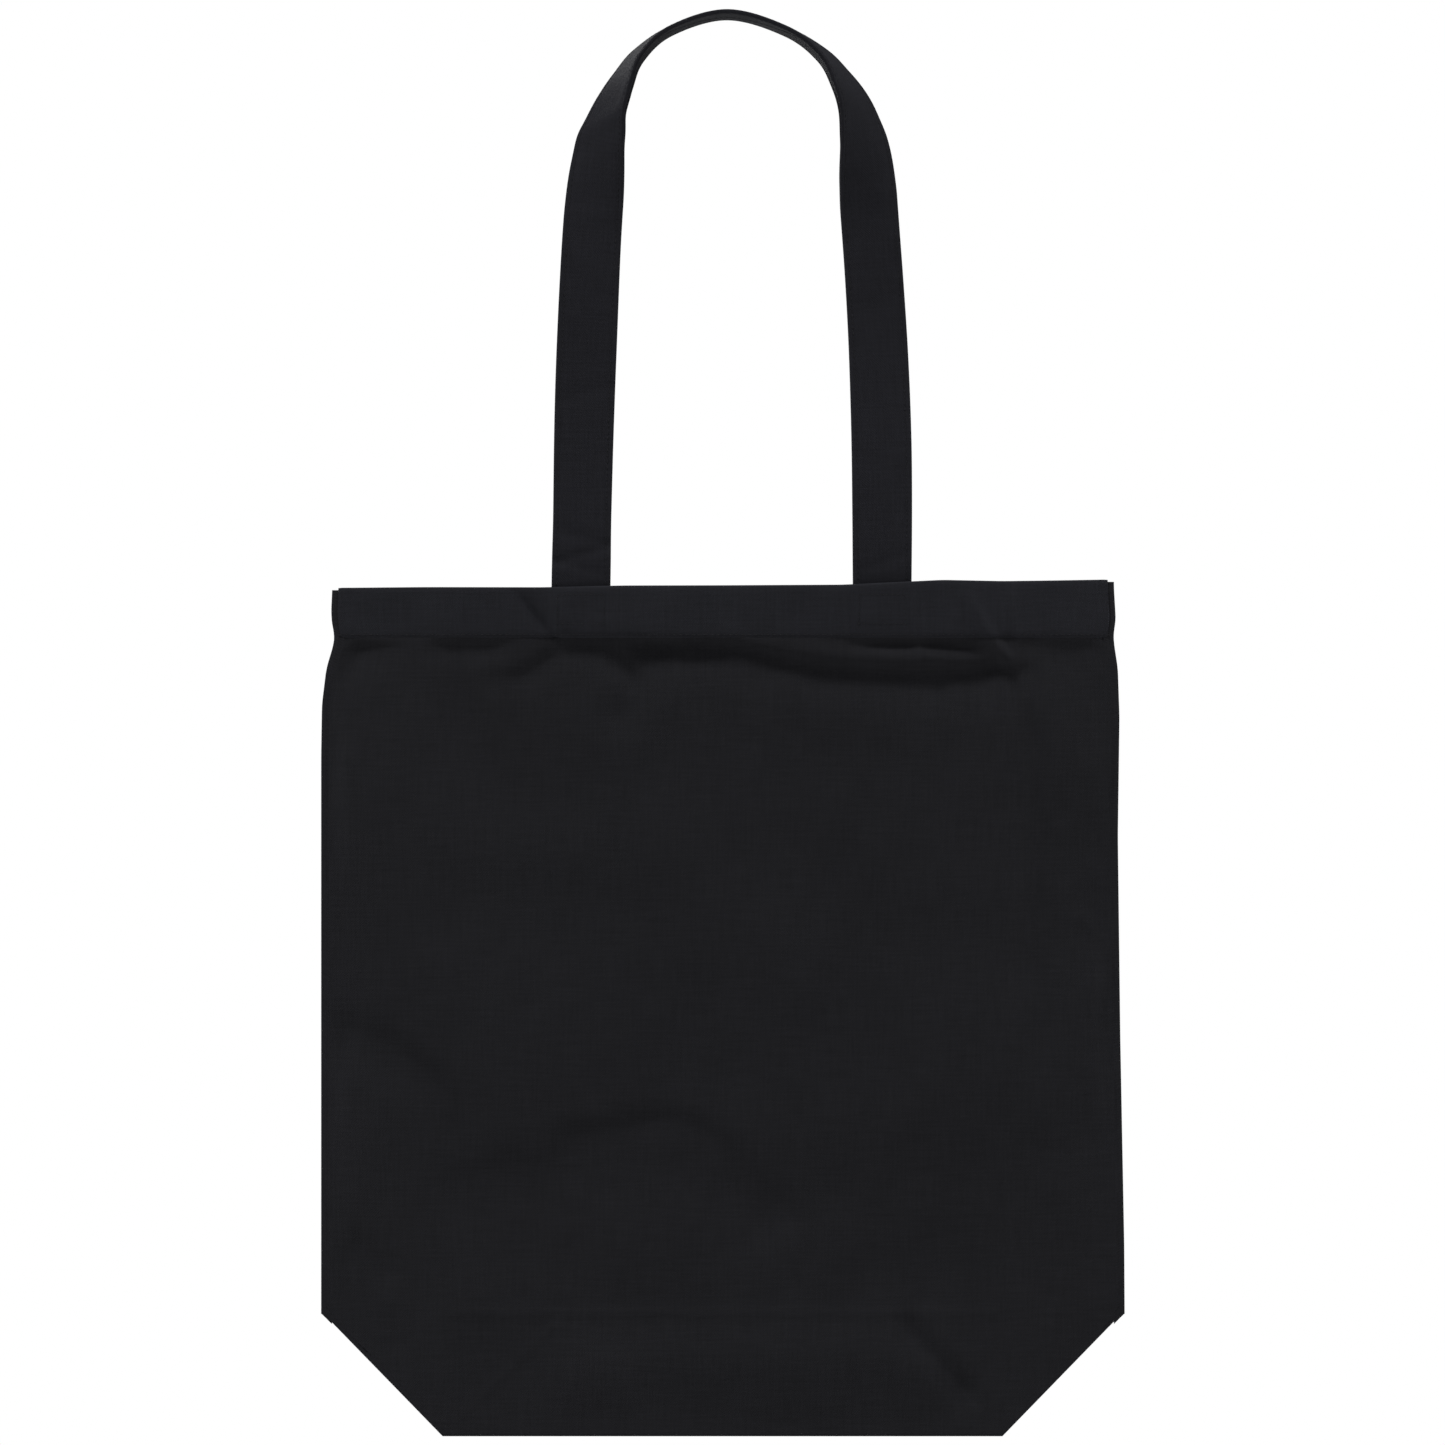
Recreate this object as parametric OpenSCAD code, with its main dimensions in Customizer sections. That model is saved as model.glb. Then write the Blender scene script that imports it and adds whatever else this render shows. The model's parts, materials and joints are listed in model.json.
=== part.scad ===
// Canvas tote bag with a boxed base, pressed nearly flat, its two long handles standing up.
// Millimetres, +Z up. The front panel faces -Y. The origin is the middle of the bottom edge,
// halfway between the front and back panels.

/* [Bag] */
// Width across the two side seams when the bag is flat
flat_width = 400; // [360:5:440]
// Depth of the base once the bag is opened into a box
open_depth = 120; // [100:5:140]
// Height from the bottom edge to the mouth
body_height = 425; // [380:5:460]
// Distance between the front and back panels when the bag is closed
closed_depth = 20; // [18:1:24]
// Thickness of one layer of canvas
cloth = 0.8; // [0.6:0.1:0.8]

/* [Hem] */
// Height of the doubled band round the mouth
hem_height = 25; // [20:1:30]
// Thickness of the turned-in layers of the hem
hem_turn = 1.6; // [1.2:0.1:1.6]

/* [Handles] */
// Width of a handle
handle_width = 29.5; // [25:0.5:32]
// Thickness of the folded and stitched handle
handle_thick = 2.4; // [2.0:0.1:2.4]
// Rise of a handle above the mouth, to the middle of its cloth
handle_rise = 287; // [220:1:320]

/* [Stitching] */
// Width of a row of stitches
thread_width = 0.8; // [0.5:0.1:1.0]
// How far a row of stitches stands out of the cloth
thread_proud = 0.3; // [0.2:0.1:0.4]

/* [Hidden] */

// The sides of the bag, for the mirrored pieces.
LEFT = -1;
RIGHT = 1;
FRONT = -1;
BACK = 1;

half_gusset = open_depth / 2;
half_base = flat_width / 2 - half_gusset;
half_closed = closed_depth / 2;
// Angle between a panel and its half of the gusset when the bag is closed.
lean = asin(half_closed / half_gusset);

// Room left beside a fold line, where two leaning layers close on each other, and where
// the base starts to part from the panel that it is folded against.
fold_room = 0.8;
closing_room = 3.5;
base_room = 6.6;
// Room between layers that lie on each other.
layer_room = 0.05;
// Distance from the middle of the outer cloth to the near side of the layer inside it.
inner_layer = cloth / 2 + layer_room;

// The turned-in hem layers stop short of the box edges and the side seams.
hem_edge_room = 4;
hem_gusset_start = 3;
hem_gusset_end = half_gusset - 15;
hem_bottom = body_height - hem_height;
hem_top = body_height - 0.5;

// The side seam is the narrow joined edge where the two halves of a gusset meet.
seam_width = 3;
seam_bottom = half_gusset + 2;

// The corner tuck keeps this far from its diagonal crease, and the flap from the panel.
tuck_crease_room = 6.5;
tuck_seam_room = 1;
flap_thick = 2 * cloth;
flap_bottom = 17;
flap_edge_room = 2;

// The handles, each with one leg left and one leg right of the middle.
left_leg_x = -71;
right_leg_x = 80;
strap_end_bottom = hem_bottom + 4;
handle_bottom = body_height + 1.5;
strap_near_face = inner_layer + hem_turn + layer_room;
leg_y = half_closed - strap_near_face - handle_thick / 2;
// At the top of the loop the handle lies flat over a hand, beside the other handle.
top_y = handle_width / 2 + 0.75;
// Route of a handle: distance from the middle of the bag, and share of the rise.
handle_route = [
    [left_leg_x, 0], [-70, 0.26], [-67, 0.5], [-62, 0.75], [-50, 0.89], [-27, 0.972],
    [2, 1],
    [32, 0.972], [59, 0.89], [71, 0.75], [76, 0.5], [79, 0.26], [right_leg_x, 0]
];
steps_per_span = 5;
// Share of the rise at which the handle starts to turn flat.
twist_start = 0.62;

// The rows of stitches stand out on the inside of the hem and of the strap ends.
stitch_height = hem_bottom + 1.5;
tack_inset = 3;

// ---- Small tools ----

// A flat piece of cloth in the XZ plane, from an outline of [x, z] points.
module cloth_piece(outline, thick = cloth) {
    rotate([90, 0, 0])
        linear_extrude(thick, center = true)
            polygon(outline);
}

// Puts a piece made for the right back quarter of the bag on another quarter.
module quarter(side_x, side_y) {
    mirror([side_x == LEFT ? 1 : 0, 0, 0])
        mirror([0, side_y == FRONT ? 1 : 0, 0])
            children();
}

function rectangle(x0, z0, x1, z1) = [[x0, z0], [x1, z0], [x1, z1], [x0, z1]];

// ---- Panels and what is sewn to them, made for the back ----

module panel(side_y) {
    quarter(RIGHT, side_y)
        translate([0, half_closed, 0])
            cloth_piece(rectangle(-half_base, 0, half_base, body_height));
}

module panel_hem(side_y) {
    half_hem = half_base - hem_edge_room;
    quarter(RIGHT, side_y)
        translate([0, half_closed - inner_layer - hem_turn / 2, 0])
            cloth_piece(rectangle(-half_hem, hem_bottom, half_hem, hem_top), hem_turn);
}

module strap_end(side_y, leg_x) {
    half = handle_width / 2;
    quarter(RIGHT, side_y)
        translate([leg_x, leg_y, 0])
            cloth_piece(rectangle(-half, strap_end_bottom, half, body_height), handle_thick);
}

module hem_stitching(side_y) {
    half_row = half_base - hem_edge_room - 1;
    quarter(RIGHT, side_y)
        translate([0, half_closed - inner_layer - hem_turn - thread_proud / 2, 0])
            cloth_piece(rectangle(-half_row, stitch_height,
                                  half_row, stitch_height + thread_width), thread_proud);
}

// One box of stitches that holds a strap end to the hem.
module tack_box() {
    half = handle_width / 2 - tack_inset;
    bottom = strap_end_bottom + tack_inset;
    top = body_height - tack_inset;
    difference() {
        cloth_piece(rectangle(-half, bottom, half, top), thread_proud);
        cloth_piece(rectangle(-half + thread_width, bottom + thread_width,
                              half - thread_width, top - thread_width), 2 * thread_proud);
    }
}

module strap_tacks(side_y) {
    quarter(RIGHT, side_y)
        for (leg_x = [left_leg_x, right_leg_x])
            translate([leg_x, leg_y - handle_thick / 2 - thread_proud / 2, 0])
                tack_box();
}

// ---- Gussets: each side is two halves that fold outwards at the side seam ----

// Local X runs from the box edge to the side seam, and local -Y is the inside.
module at_box_edge(side_x, side_y) {
    quarter(side_x, side_y)
        translate([half_base, half_closed, 0])
            rotate([0, 0, -lean])
                children();
}

module gusset(side_x, side_y) {
    seam = half_gusset - closing_room;
    at_box_edge(side_x, side_y)
        cloth_piece([[fold_room, fold_room], [seam, seam],
                     [seam, body_height], [fold_room, body_height]]);
}

module gusset_hem(side_x, side_y) {
    at_box_edge(side_x, side_y)
        translate([0, -inner_layer - hem_turn / 2, 0])
            cloth_piece(rectangle(hem_gusset_start, hem_bottom, hem_gusset_end, hem_top), hem_turn);
}

module side_seam(side_x) {
    seam_x = half_base + half_gusset * cos(lean);
    quarter(side_x, BACK)
        cloth_piece(rectangle(seam_x - seam_width, seam_bottom, seam_x, body_height));
}

// ---- Base: two halves that stand up inside the closed bag, with the corners ----

// Local Z runs up the folded base half, and local +Y is the side facing its panel.
module at_bottom_edge(side_x, side_y) {
    quarter(side_x, side_y)
        translate([0, half_closed, 0])
            rotate([lean, 0, 0])
                children();
}

module base(side_y) {
    half = half_base - 1;
    at_bottom_edge(RIGHT, side_y)
        cloth_piece(rectangle(-half, base_room, half, half_gusset - closing_room));
}

// The spare cloth of a boxed corner, a doubled triangle lying on the inside of the base.
module corner_flap(side_x, side_y) {
    top = half_gusset - closing_room;
    at_bottom_edge(side_x, side_y)
        translate([half_base, inner_layer + flap_thick / 2, 0])
            cloth_piece([[-1, flap_bottom], [-1, top],
                         [flap_edge_room - top, top], [flap_edge_room - flap_bottom, flap_bottom]],
                        flap_thick);
}

// The bottom triangle of a gusset half, folded up inside along the diagonal crease.
module corner_tuck(side_x, side_y) {
    top = half_gusset - closing_room;
    at_bottom_edge(side_x, side_y)
        translate([half_base, 0, 0])
            cloth_piece([[tuck_seam_room, tuck_seam_room + tuck_crease_room],
                         [tuck_seam_room, top], [top - tuck_crease_room, top]]);
}

// ---- Handles: one ribbon each, swept along its route ----

function smooth(t) = let (c = min(max(t, 0), 1)) c * c * (3 - 2 * c);

// A point on the smooth curve through four neighbouring route points.
function curve_point(a, b, c, d, t) =
    0.5 * (2 * b + (c - a) * t + (2 * a - 5 * b + 4 * c - d) * t * t
           + (3 * b - a - 3 * c + d) * t * t * t);

function route_at(span, t) =
    let (last = len(handle_route) - 1)
    curve_point(handle_route[max(span - 1, 0)], handle_route[span],
                handle_route[min(span + 1, last)], handle_route[min(span + 2, last)], t);

function stations() = [
    for (span = [0 : len(handle_route) - 2], step = [0 : steps_per_span - 1])
        route_at(span, step / steps_per_span),
    handle_route[len(handle_route) - 1]
];

function height_at(share) = handle_bottom + share * (body_height + handle_rise - handle_bottom);

// The four corners of the ribbon's cross-section at one station.
function section(points, i) =
    let (
        before = points[max(i - 1, 0)],
        after = points[min(i + 1, len(points) - 1)],
        dx = after[0] - before[0],
        dz = height_at(after[1]) - height_at(before[1]),
        run = norm([dx, dz]),
        along = [dx / run, 0, dz / run],
        turn = 90 * smooth((points[i][1] - twist_start) / (1 - twist_start)),
        across = cos(turn) * [along[2], 0, -along[0]] + sin(turn) * [0, 1, 0],
        through = cross(along, across),
        centre = [points[i][0], leg_y + (top_y - leg_y) * sin(turn), height_at(points[i][1])],
        a = across * handle_width / 2,
        b = through * handle_thick / 2
    )
    [centre - a - b, centre + a - b, centre + a + b, centre - a + b];

module handle(side_y) {
    points = stations();
    count = len(points);
    corners = [for (i = [0 : count - 1]) each section(points, i)];
    last = 4 * (count - 1);
    sides = [for (i = [0 : count - 2], k = [0 : 3])
        let (j = (k + 1) % 4)
        each [[4 * i + k, 4 * i + j, 4 * i + 4 + j],
              [4 * i + k, 4 * i + 4 + j, 4 * i + 4 + k]]];
    quarter(RIGHT, side_y)
        polyhedron(corners, concat(sides, [[3, 2, 1, 0], [last, last + 1, last + 2, last + 3]]));
}

// ---- The sub-parts ----

CANVAS = "#1e1e21";
INNER_CANVAS = "#19191c";
HANDLE_CANVAS = "#222226";
THREAD = "#2b2b30";

module back_panel() { color(CANVAS) panel(BACK); }
module back_hem() { color(INNER_CANVAS) panel_hem(BACK); }
module back_left_strap_end() { color(HANDLE_CANVAS) strap_end(BACK, left_leg_x); }
module back_right_strap_end() { color(HANDLE_CANVAS) strap_end(BACK, right_leg_x); }
module back_hem_stitching() { color(THREAD) hem_stitching(BACK); }
module back_strap_tacks() { color(THREAD) strap_tacks(BACK); }

module front_panel() { color(CANVAS) panel(FRONT); }
module front_hem() { color(INNER_CANVAS) panel_hem(FRONT); }
module front_left_strap_end() { color(HANDLE_CANVAS) strap_end(FRONT, left_leg_x); }
module front_right_strap_end() { color(HANDLE_CANVAS) strap_end(FRONT, right_leg_x); }
module front_hem_stitching() { color(THREAD) hem_stitching(FRONT); }
module front_strap_tacks() { color(THREAD) strap_tacks(FRONT); }

module left_back_gusset() { color(CANVAS) gusset(LEFT, BACK); }
module left_front_gusset() { color(CANVAS) gusset(LEFT, FRONT); }
module right_back_gusset() { color(CANVAS) gusset(RIGHT, BACK); }
module right_front_gusset() { color(CANVAS) gusset(RIGHT, FRONT); }
module left_back_gusset_hem() { color(INNER_CANVAS) gusset_hem(LEFT, BACK); }
module left_front_gusset_hem() { color(INNER_CANVAS) gusset_hem(LEFT, FRONT); }
module right_back_gusset_hem() { color(INNER_CANVAS) gusset_hem(RIGHT, BACK); }
module right_front_gusset_hem() { color(INNER_CANVAS) gusset_hem(RIGHT, FRONT); }
module left_side_seam() { color(INNER_CANVAS) side_seam(LEFT); }
module right_side_seam() { color(INNER_CANVAS) side_seam(RIGHT); }

module back_base() { color(CANVAS) base(BACK); }
module front_base() { color(CANVAS) base(FRONT); }
module left_back_corner_flap() { color(INNER_CANVAS) corner_flap(LEFT, BACK); }
module left_front_corner_flap() { color(INNER_CANVAS) corner_flap(LEFT, FRONT); }
module right_back_corner_flap() { color(INNER_CANVAS) corner_flap(RIGHT, BACK); }
module right_front_corner_flap() { color(INNER_CANVAS) corner_flap(RIGHT, FRONT); }
module left_back_corner_tuck() { color(CANVAS) corner_tuck(LEFT, BACK); }
module left_front_corner_tuck() { color(CANVAS) corner_tuck(LEFT, FRONT); }
module right_back_corner_tuck() { color(CANVAS) corner_tuck(RIGHT, BACK); }
module right_front_corner_tuck() { color(CANVAS) corner_tuck(RIGHT, FRONT); }

module front_handle() { color(HANDLE_CANVAS) handle(FRONT); }
module back_handle() { color(HANDLE_CANVAS) handle(BACK); }

back_panel();
back_hem();
back_left_strap_end();
back_right_strap_end();
back_hem_stitching();
back_strap_tacks();
front_panel();
front_hem();
front_left_strap_end();
front_right_strap_end();
front_hem_stitching();
front_strap_tacks();
left_back_gusset();
left_back_gusset_hem();
left_side_seam();
left_front_gusset();
left_front_gusset_hem();
right_back_gusset();
right_back_gusset_hem();
right_side_seam();
right_front_gusset();
right_front_gusset_hem();
back_base();
left_back_corner_flap();
right_back_corner_flap();
front_base();
left_front_corner_flap();
right_front_corner_flap();
left_back_corner_tuck();
left_front_corner_tuck();
right_back_corner_tuck();
right_front_corner_tuck();
front_handle();
back_handle();
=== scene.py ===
"""A black canvas tote bag with a boxed base, closed and hanging with its handles up."""

import json
import math

import bpy
import numpy as np
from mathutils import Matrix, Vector


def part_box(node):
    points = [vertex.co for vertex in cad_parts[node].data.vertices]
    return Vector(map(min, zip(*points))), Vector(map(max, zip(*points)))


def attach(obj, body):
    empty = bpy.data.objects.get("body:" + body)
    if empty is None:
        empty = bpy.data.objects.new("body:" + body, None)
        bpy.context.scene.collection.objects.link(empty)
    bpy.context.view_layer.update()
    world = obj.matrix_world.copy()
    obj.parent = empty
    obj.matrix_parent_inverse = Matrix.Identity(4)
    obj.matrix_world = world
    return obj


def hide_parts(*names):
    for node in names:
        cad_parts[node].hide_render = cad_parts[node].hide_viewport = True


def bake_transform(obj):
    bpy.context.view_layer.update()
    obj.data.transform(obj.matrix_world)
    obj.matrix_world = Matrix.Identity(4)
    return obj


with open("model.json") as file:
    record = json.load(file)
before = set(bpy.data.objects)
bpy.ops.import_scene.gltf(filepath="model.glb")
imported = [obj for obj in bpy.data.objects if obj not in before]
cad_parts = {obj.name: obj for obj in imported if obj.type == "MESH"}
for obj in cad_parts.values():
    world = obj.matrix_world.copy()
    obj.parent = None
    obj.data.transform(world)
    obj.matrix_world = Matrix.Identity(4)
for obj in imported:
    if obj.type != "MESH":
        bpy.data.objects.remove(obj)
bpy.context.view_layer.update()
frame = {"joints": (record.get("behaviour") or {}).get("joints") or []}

MM = 0.001
LEFT, RIGHT = -1, 1
FRONT, BACK = -1, 1
SIDE_NAMES = {FRONT: "front", BACK: "back"}
HAND_NAMES = {LEFT: "left", RIGHT: "right"}

# ---- Sizes taken from the frame ----


def joint_place(name):
    """Where a joint's axis passes, as an array."""
    joint = next(j for j in frame["joints"] if j["name"] == name)
    return np.array(joint["pos_m"], float)


def middle_x(node):
    """The middle of a node, from left to right."""
    low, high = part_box(node)
    return (low.x + high.x) / 2


HALF_BASE = abs(joint_place("left_front_fold")[0])
HALF_DEPTH = abs(joint_place("left_front_fold")[1])
SEAM_X = abs(joint_place("left_side_fold")[0])
HALF_GUSSET = math.hypot(SEAM_X - HALF_BASE, HALF_DEPTH)
LEAN = math.atan2(HALF_DEPTH, SEAM_X - HALF_BASE)
HALF_WIDTH = HALF_BASE + HALF_GUSSET
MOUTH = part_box("front_panel")[1].z
HEM_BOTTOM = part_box("front_hem")[0].z
LEG_X = {LEFT: middle_x("front_left_strap_end"), RIGHT: middle_x("front_right_strap_end")}
STRAP_LOW, STRAP_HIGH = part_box("front_left_strap_end")
HALF_STRAP = (STRAP_HIGH.x - STRAP_LOW.x) / 2
STRAP_THICK = STRAP_HIGH.y - STRAP_LOW.y
LEG_Y = -(STRAP_LOW.y + STRAP_HIGH.y) / 2
STRAP_END = STRAP_LOW.z
HANDLE_LOW, HANDLE_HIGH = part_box("front_handle")
TOP_Y = -(HANDLE_LOW.y + HANDLE_HIGH.y) / 2 - 0.1 * MM

# ---- Sizes of the cloth ----
CLOTH = 0.8 * MM
HALF_CLOTH = CLOTH / 2
# Height of the row of stitches that holds the hem, and how deep it pulls in.
STITCH_LINE = HEM_BOTTOM - 0.5 * MM
STITCH_DENT = 0.55 * MM
# The panels stop this far above the bottom and corner folds, which are pieces of their own.
LIP = 4 * MM
# Reach of the bend at a box edge, each way.
CREASE = 2.5 * MM
# Where the gusset cloth ends beside the side seam, and how far from there relief fades in.
GUSSET_END = HALF_WIDTH - 3 * MM
SEAM_FADE = 12 * MM
# How deep the doubled hem reaches behind the middle of the cloth, and how far its outer face
# stands forward of the body's.
HEM_THICK = 2.1 * MM
HEM_STEP_OUT = 0.5 * MM
# The share of a gather's height that runs on through the hem.
GATHER_SHARE = 0.8
# Thickness of the cloth in the folds at the bottom.
FOLD_SKIN = 0.5 * MM
# Distance between points across the cloth, which is finer in front, and across the hem.
CLOTH_STEP = {FRONT: 2.0 * MM, BACK: 3.0 * MM}
HEM_STEP = 2.0 * MM


# ---- Small tools ----


def smooth(t):
    """0 below 0, 1 above 1, and an even S between."""
    t = np.clip(t, 0, 1)
    return t * t * (3 - 2 * t)


def mm_curve(points, x):
    """A soft line through (x, value) points in millimetres, for x in metres."""
    xs, values = np.array(points, float).T * MM
    reach = 3 * MM
    return sum(np.interp(x + k * reach, xs, values) for k in (-1, -0.5, 0, 0.5, 1)) / 5


def spline(points, per_span):
    """Points along the smooth curve through a few given points."""
    p = np.array(points, float)
    p = np.vstack([2 * p[0] - p[1], p, 2 * p[-1] - p[-2]])
    t = np.arange(per_span)[:, None] / per_span
    spans = [
        0.5 * (2 * b + (c - a) * t + (2 * a - 5 * b + 4 * c - d) * t**2
               + (3 * b - a - 3 * c + d) * t**3)
        for a, b, c, d in zip(p, p[1:], p[2:], p[3:])
    ]
    return np.vstack(spans + [p[-2:-1]])


def make_object(name, points, faces, uv=None, edges=(), sharp=()):
    """A mesh object from points, faces, and one flat-cloth place for each point. The loops of
    points in sharp are cut edges, which keep the shading of the face and the cut apart."""
    mesh = bpy.data.meshes.new(name)
    mesh.from_pydata([tuple(p) for p in points], list(edges), faces)
    if uv is not None:
        layer = mesh.uv_layers.new(name="cloth")
        corners = np.zeros(len(mesh.loops), int)
        mesh.loops.foreach_get("vertex_index", corners)
        layer.data.foreach_set("uv", np.array(uv, float)[corners].ravel())
    mesh.polygons.foreach_set("use_smooth", [True] * len(mesh.polygons))
    mesh.update()
    cut = {frozenset((int(a), int(b))) for loop in sharp for a, b in zip(loop, np.roll(loop, -1))}
    if cut:
        ends = np.zeros(2 * len(mesh.edges), int)
        mesh.edges.foreach_get("vertices", ends)
        marks = [frozenset(pair) in cut for pair in ends.reshape(-1, 2).tolist()]
        layer = mesh.attributes.new("sharp_edge", "BOOLEAN", "EDGE")
        layer.data.foreach_set("value", marks)
    obj = bpy.data.objects.new(name, mesh)
    bpy.context.scene.collection.objects.link(obj)
    return obj


def grid_faces(rows, columns, wrap=False):
    """Quads of a grid of points, closed from its last column to its first if wrap is set."""
    index = np.arange(rows * columns).reshape(rows, columns)
    if wrap:
        index = np.hstack([index, index[:, :1]])
    quads = np.stack([index[:-1, :-1], index[:-1, 1:], index[1:, 1:], index[1:, :-1]], -1)
    return quads.reshape(-1, 4)


def shell(name, outer, inner, uv):
    """Cloth with both faces and its cut edges, from the grids of its outer and inner faces."""
    rows, columns = outer.shape[:2]
    count = rows * columns
    points = np.vstack([outer.reshape(-1, 3), inner.reshape(-1, 3)])
    quads = grid_faces(rows, columns)
    index = np.arange(count).reshape(rows, columns)
    rim = np.concatenate([index[0, :-1], index[:-1, -1], index[-1, :0:-1], index[:0:-1, 0]])
    after = np.roll(rim, -1)
    sides = np.stack([after, rim, rim + count, after + count], -1)
    a, b, d = (points[quads[:, k]] for k in (0, 1, 3))
    outward = (points[quads[:, 0]] - points[quads[:, 0] + count])
    faces = np.vstack([quads, quads[:, ::-1] + count, sides])
    if np.sum(np.cross(b - a, d - a) * outward) < 0:
        faces = faces[:, ::-1]
    flat = np.vstack([uv.reshape(-1, 2)] * 2)
    return make_object(name, points, faces.tolist(), flat, sharp=[rim, rim + count])


def tube(name, rings, uv):
    """A closed body from rings of points, capped at both ends."""
    rows, columns = rings.shape[:2]
    points = rings.reshape(-1, 3)
    faces = grid_faces(rows, columns, wrap=True)
    a, b, d = (points[faces[:, k]] for k in (0, 1, 3))
    centres = np.repeat(rings.mean(1), columns, 0)
    last = (rows - 1) * columns
    caps = [list(range(columns))[::-1], list(range(last, last + columns))]
    faces = faces.tolist()
    if np.sum(np.cross(b - a, d - a) * (a - centres[: len(a)])) < 0:
        faces = [f[::-1] for f in faces]
        caps = [f[::-1] for f in caps]
    return make_object(name, points, faces + caps, uv.reshape(-1, 2), sharp=caps)


def finish_piece(obj, material, bodies, replaced=(), bend=None):
    """Gives a piece its material and hides the CAD nodes it stands for. Without a bend it follows
    the first of the bodies; with a bend, whose two points are not used, its place is only baked
    into its points."""
    obj.data.materials.clear()
    obj.data.materials.append(material)
    if bend is None:
        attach(obj, bodies[0])
    else:
        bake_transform(obj)
    if replaced:
        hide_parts(*replaced)
    return obj


# ---- Materials ----


class Wire:
    """A socket in a material. Arithmetic on wires adds the Math nodes that do it."""

    def __init__(self, tree, socket=None):
        self.tree = tree
        self.socket = socket

    def node(self, kind, settings=(), inputs=(), out=0):
        """Adds any node: its settings first, then the values or wires of its inputs."""
        made = self.tree.nodes.new(kind)
        for key, value in dict(settings).items():
            setattr(made, key, value)
        for key, value in dict(inputs).items():
            if isinstance(value, Wire):
                self.tree.links.new(value.socket, made.inputs[key])
            else:
                made.inputs[key].default_value = value
        return Wire(self.tree, made.outputs[out])

    def math(self, operation, *values):
        """One Math node on the given values."""
        return self.node("ShaderNodeMath", {"operation": operation}, dict(enumerate(values)))

    def __add__(self, other):
        return self.math("ADD", self, other)

    def __sub__(self, other):
        return self.math("SUBTRACT", self, other)

    def __rsub__(self, other):
        return self.math("SUBTRACT", other, self)

    def __mul__(self, other):
        return self.math("MULTIPLY", self, other)

    __radd__ = __add__
    __rmul__ = __mul__

    def part(self, low, high):
        """How far this value is from low to high, kept between 0 and 1."""
        return self.node("ShaderNodeMapRange", {"interpolation_type": "SMOOTHSTEP"},
                         {"Value": self, "From Min": low, "From Max": high})


def canvas_material(name, colour, light_colour, yarn=0.62 * MM, sheen=0.03):
    """Plain-weave cotton canvas. The weave lies in the cloth's own flat map, in metres."""
    material = bpy.data.materials.new(name)
    material.use_nodes = True
    tree = material.node_tree
    shader = tree.nodes["Principled BSDF"]
    start = Wire(tree)
    flat = start.node("ShaderNodeUVMap", {"uv_map": "cloth"})

    def noise(scale, stretch=(1, 1, 1), detail=3.0):
        """Noise in the flat map: scale is per metre, stretch slows it along one thread."""
        vector = start.node("ShaderNodeVectorMath", {"operation": "MULTIPLY"},
                            {0: flat, 1: stretch})
        return start.node("ShaderNodeTexNoise", {"noise_dimensions": "3D"},
                          {"Vector": vector, "Scale": scale, "Detail": detail,
                           "Roughness": 0.55})

    # Threads wander a little, so the weave is never a perfect grid.
    wander = (noise(90) - 0.5) * (1.6 * yarn)
    drift = (noise(70, (1.3, 0.8, 1)) - 0.5) * (1.6 * yarn)
    split = start.node("ShaderNodeSeparateXYZ", (), {"Vector": flat})
    across = split + wander
    up = Wire(tree, split.socket.node.outputs[1]) + drift
    turn = math.pi / yarn
    across_wave = (across * turn).math("SINE", across * turn)
    up_wave = (up * turn).math("SINE", up * turn)
    across_beat = (across * turn).math("COSINE", across * turn)
    up_beat = (up * turn).math("COSINE", up * turn)
    warp = across_wave.math("ABSOLUTE", across_wave) + across_wave * up_beat * 0.5
    weft = up_wave.math("ABSOLUTE", up_wave) - up_wave * across_beat * 0.5
    weave = warp.math("MAXIMUM", warp, weft)
    # Thick and thin stretches of single threads, both ways.
    slub = noise(900, (1, 0.05, 1), 2) + noise(900, (0.05, 1, 1), 2)
    mottle = noise(11, (1, 1, 1), 3)
    lint = noise(1500, (1, 0.35, 1), 1).part(0.72, 0.8)
    height = weave * 0.55 + slub * 0.55 + noise(160, (1, 1, 1), 3) * 0.5
    bump = start.node("ShaderNodeBump", (), {"Strength": 0.55, "Distance": 0.22 * MM,
                                             "Height": height})
    worn = weave * 0.25 + (slub - 1.0) * 0.6 + (mottle - 0.5) * 0.5 + lint * 0.7 + 0.25
    worn = worn.math("MAXIMUM", worn, 0.0)
    worn = worn.math("MINIMUM", worn, 1.0)
    tint = start.node("ShaderNodeMix", {"data_type": "RGBA"},
                      {0: worn, 6: (*colour, 1), 7: (*light_colour, 1)}, out=2)
    rough = 0.96 - weave * 0.05
    tree.links.new(tint.socket, shader.inputs["Base Color"])
    tree.links.new(rough.socket, shader.inputs["Roughness"])
    tree.links.new(bump.socket, shader.inputs["Normal"])
    shader.inputs["Specular IOR Level"].default_value = 0.08
    shader.inputs["Sheen Weight"].default_value = sheen
    shader.inputs["Sheen Roughness"].default_value = 0.45
    shader.inputs["Sheen Tint"].default_value = (0.75, 0.8, 1.0, 1)
    return material


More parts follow.
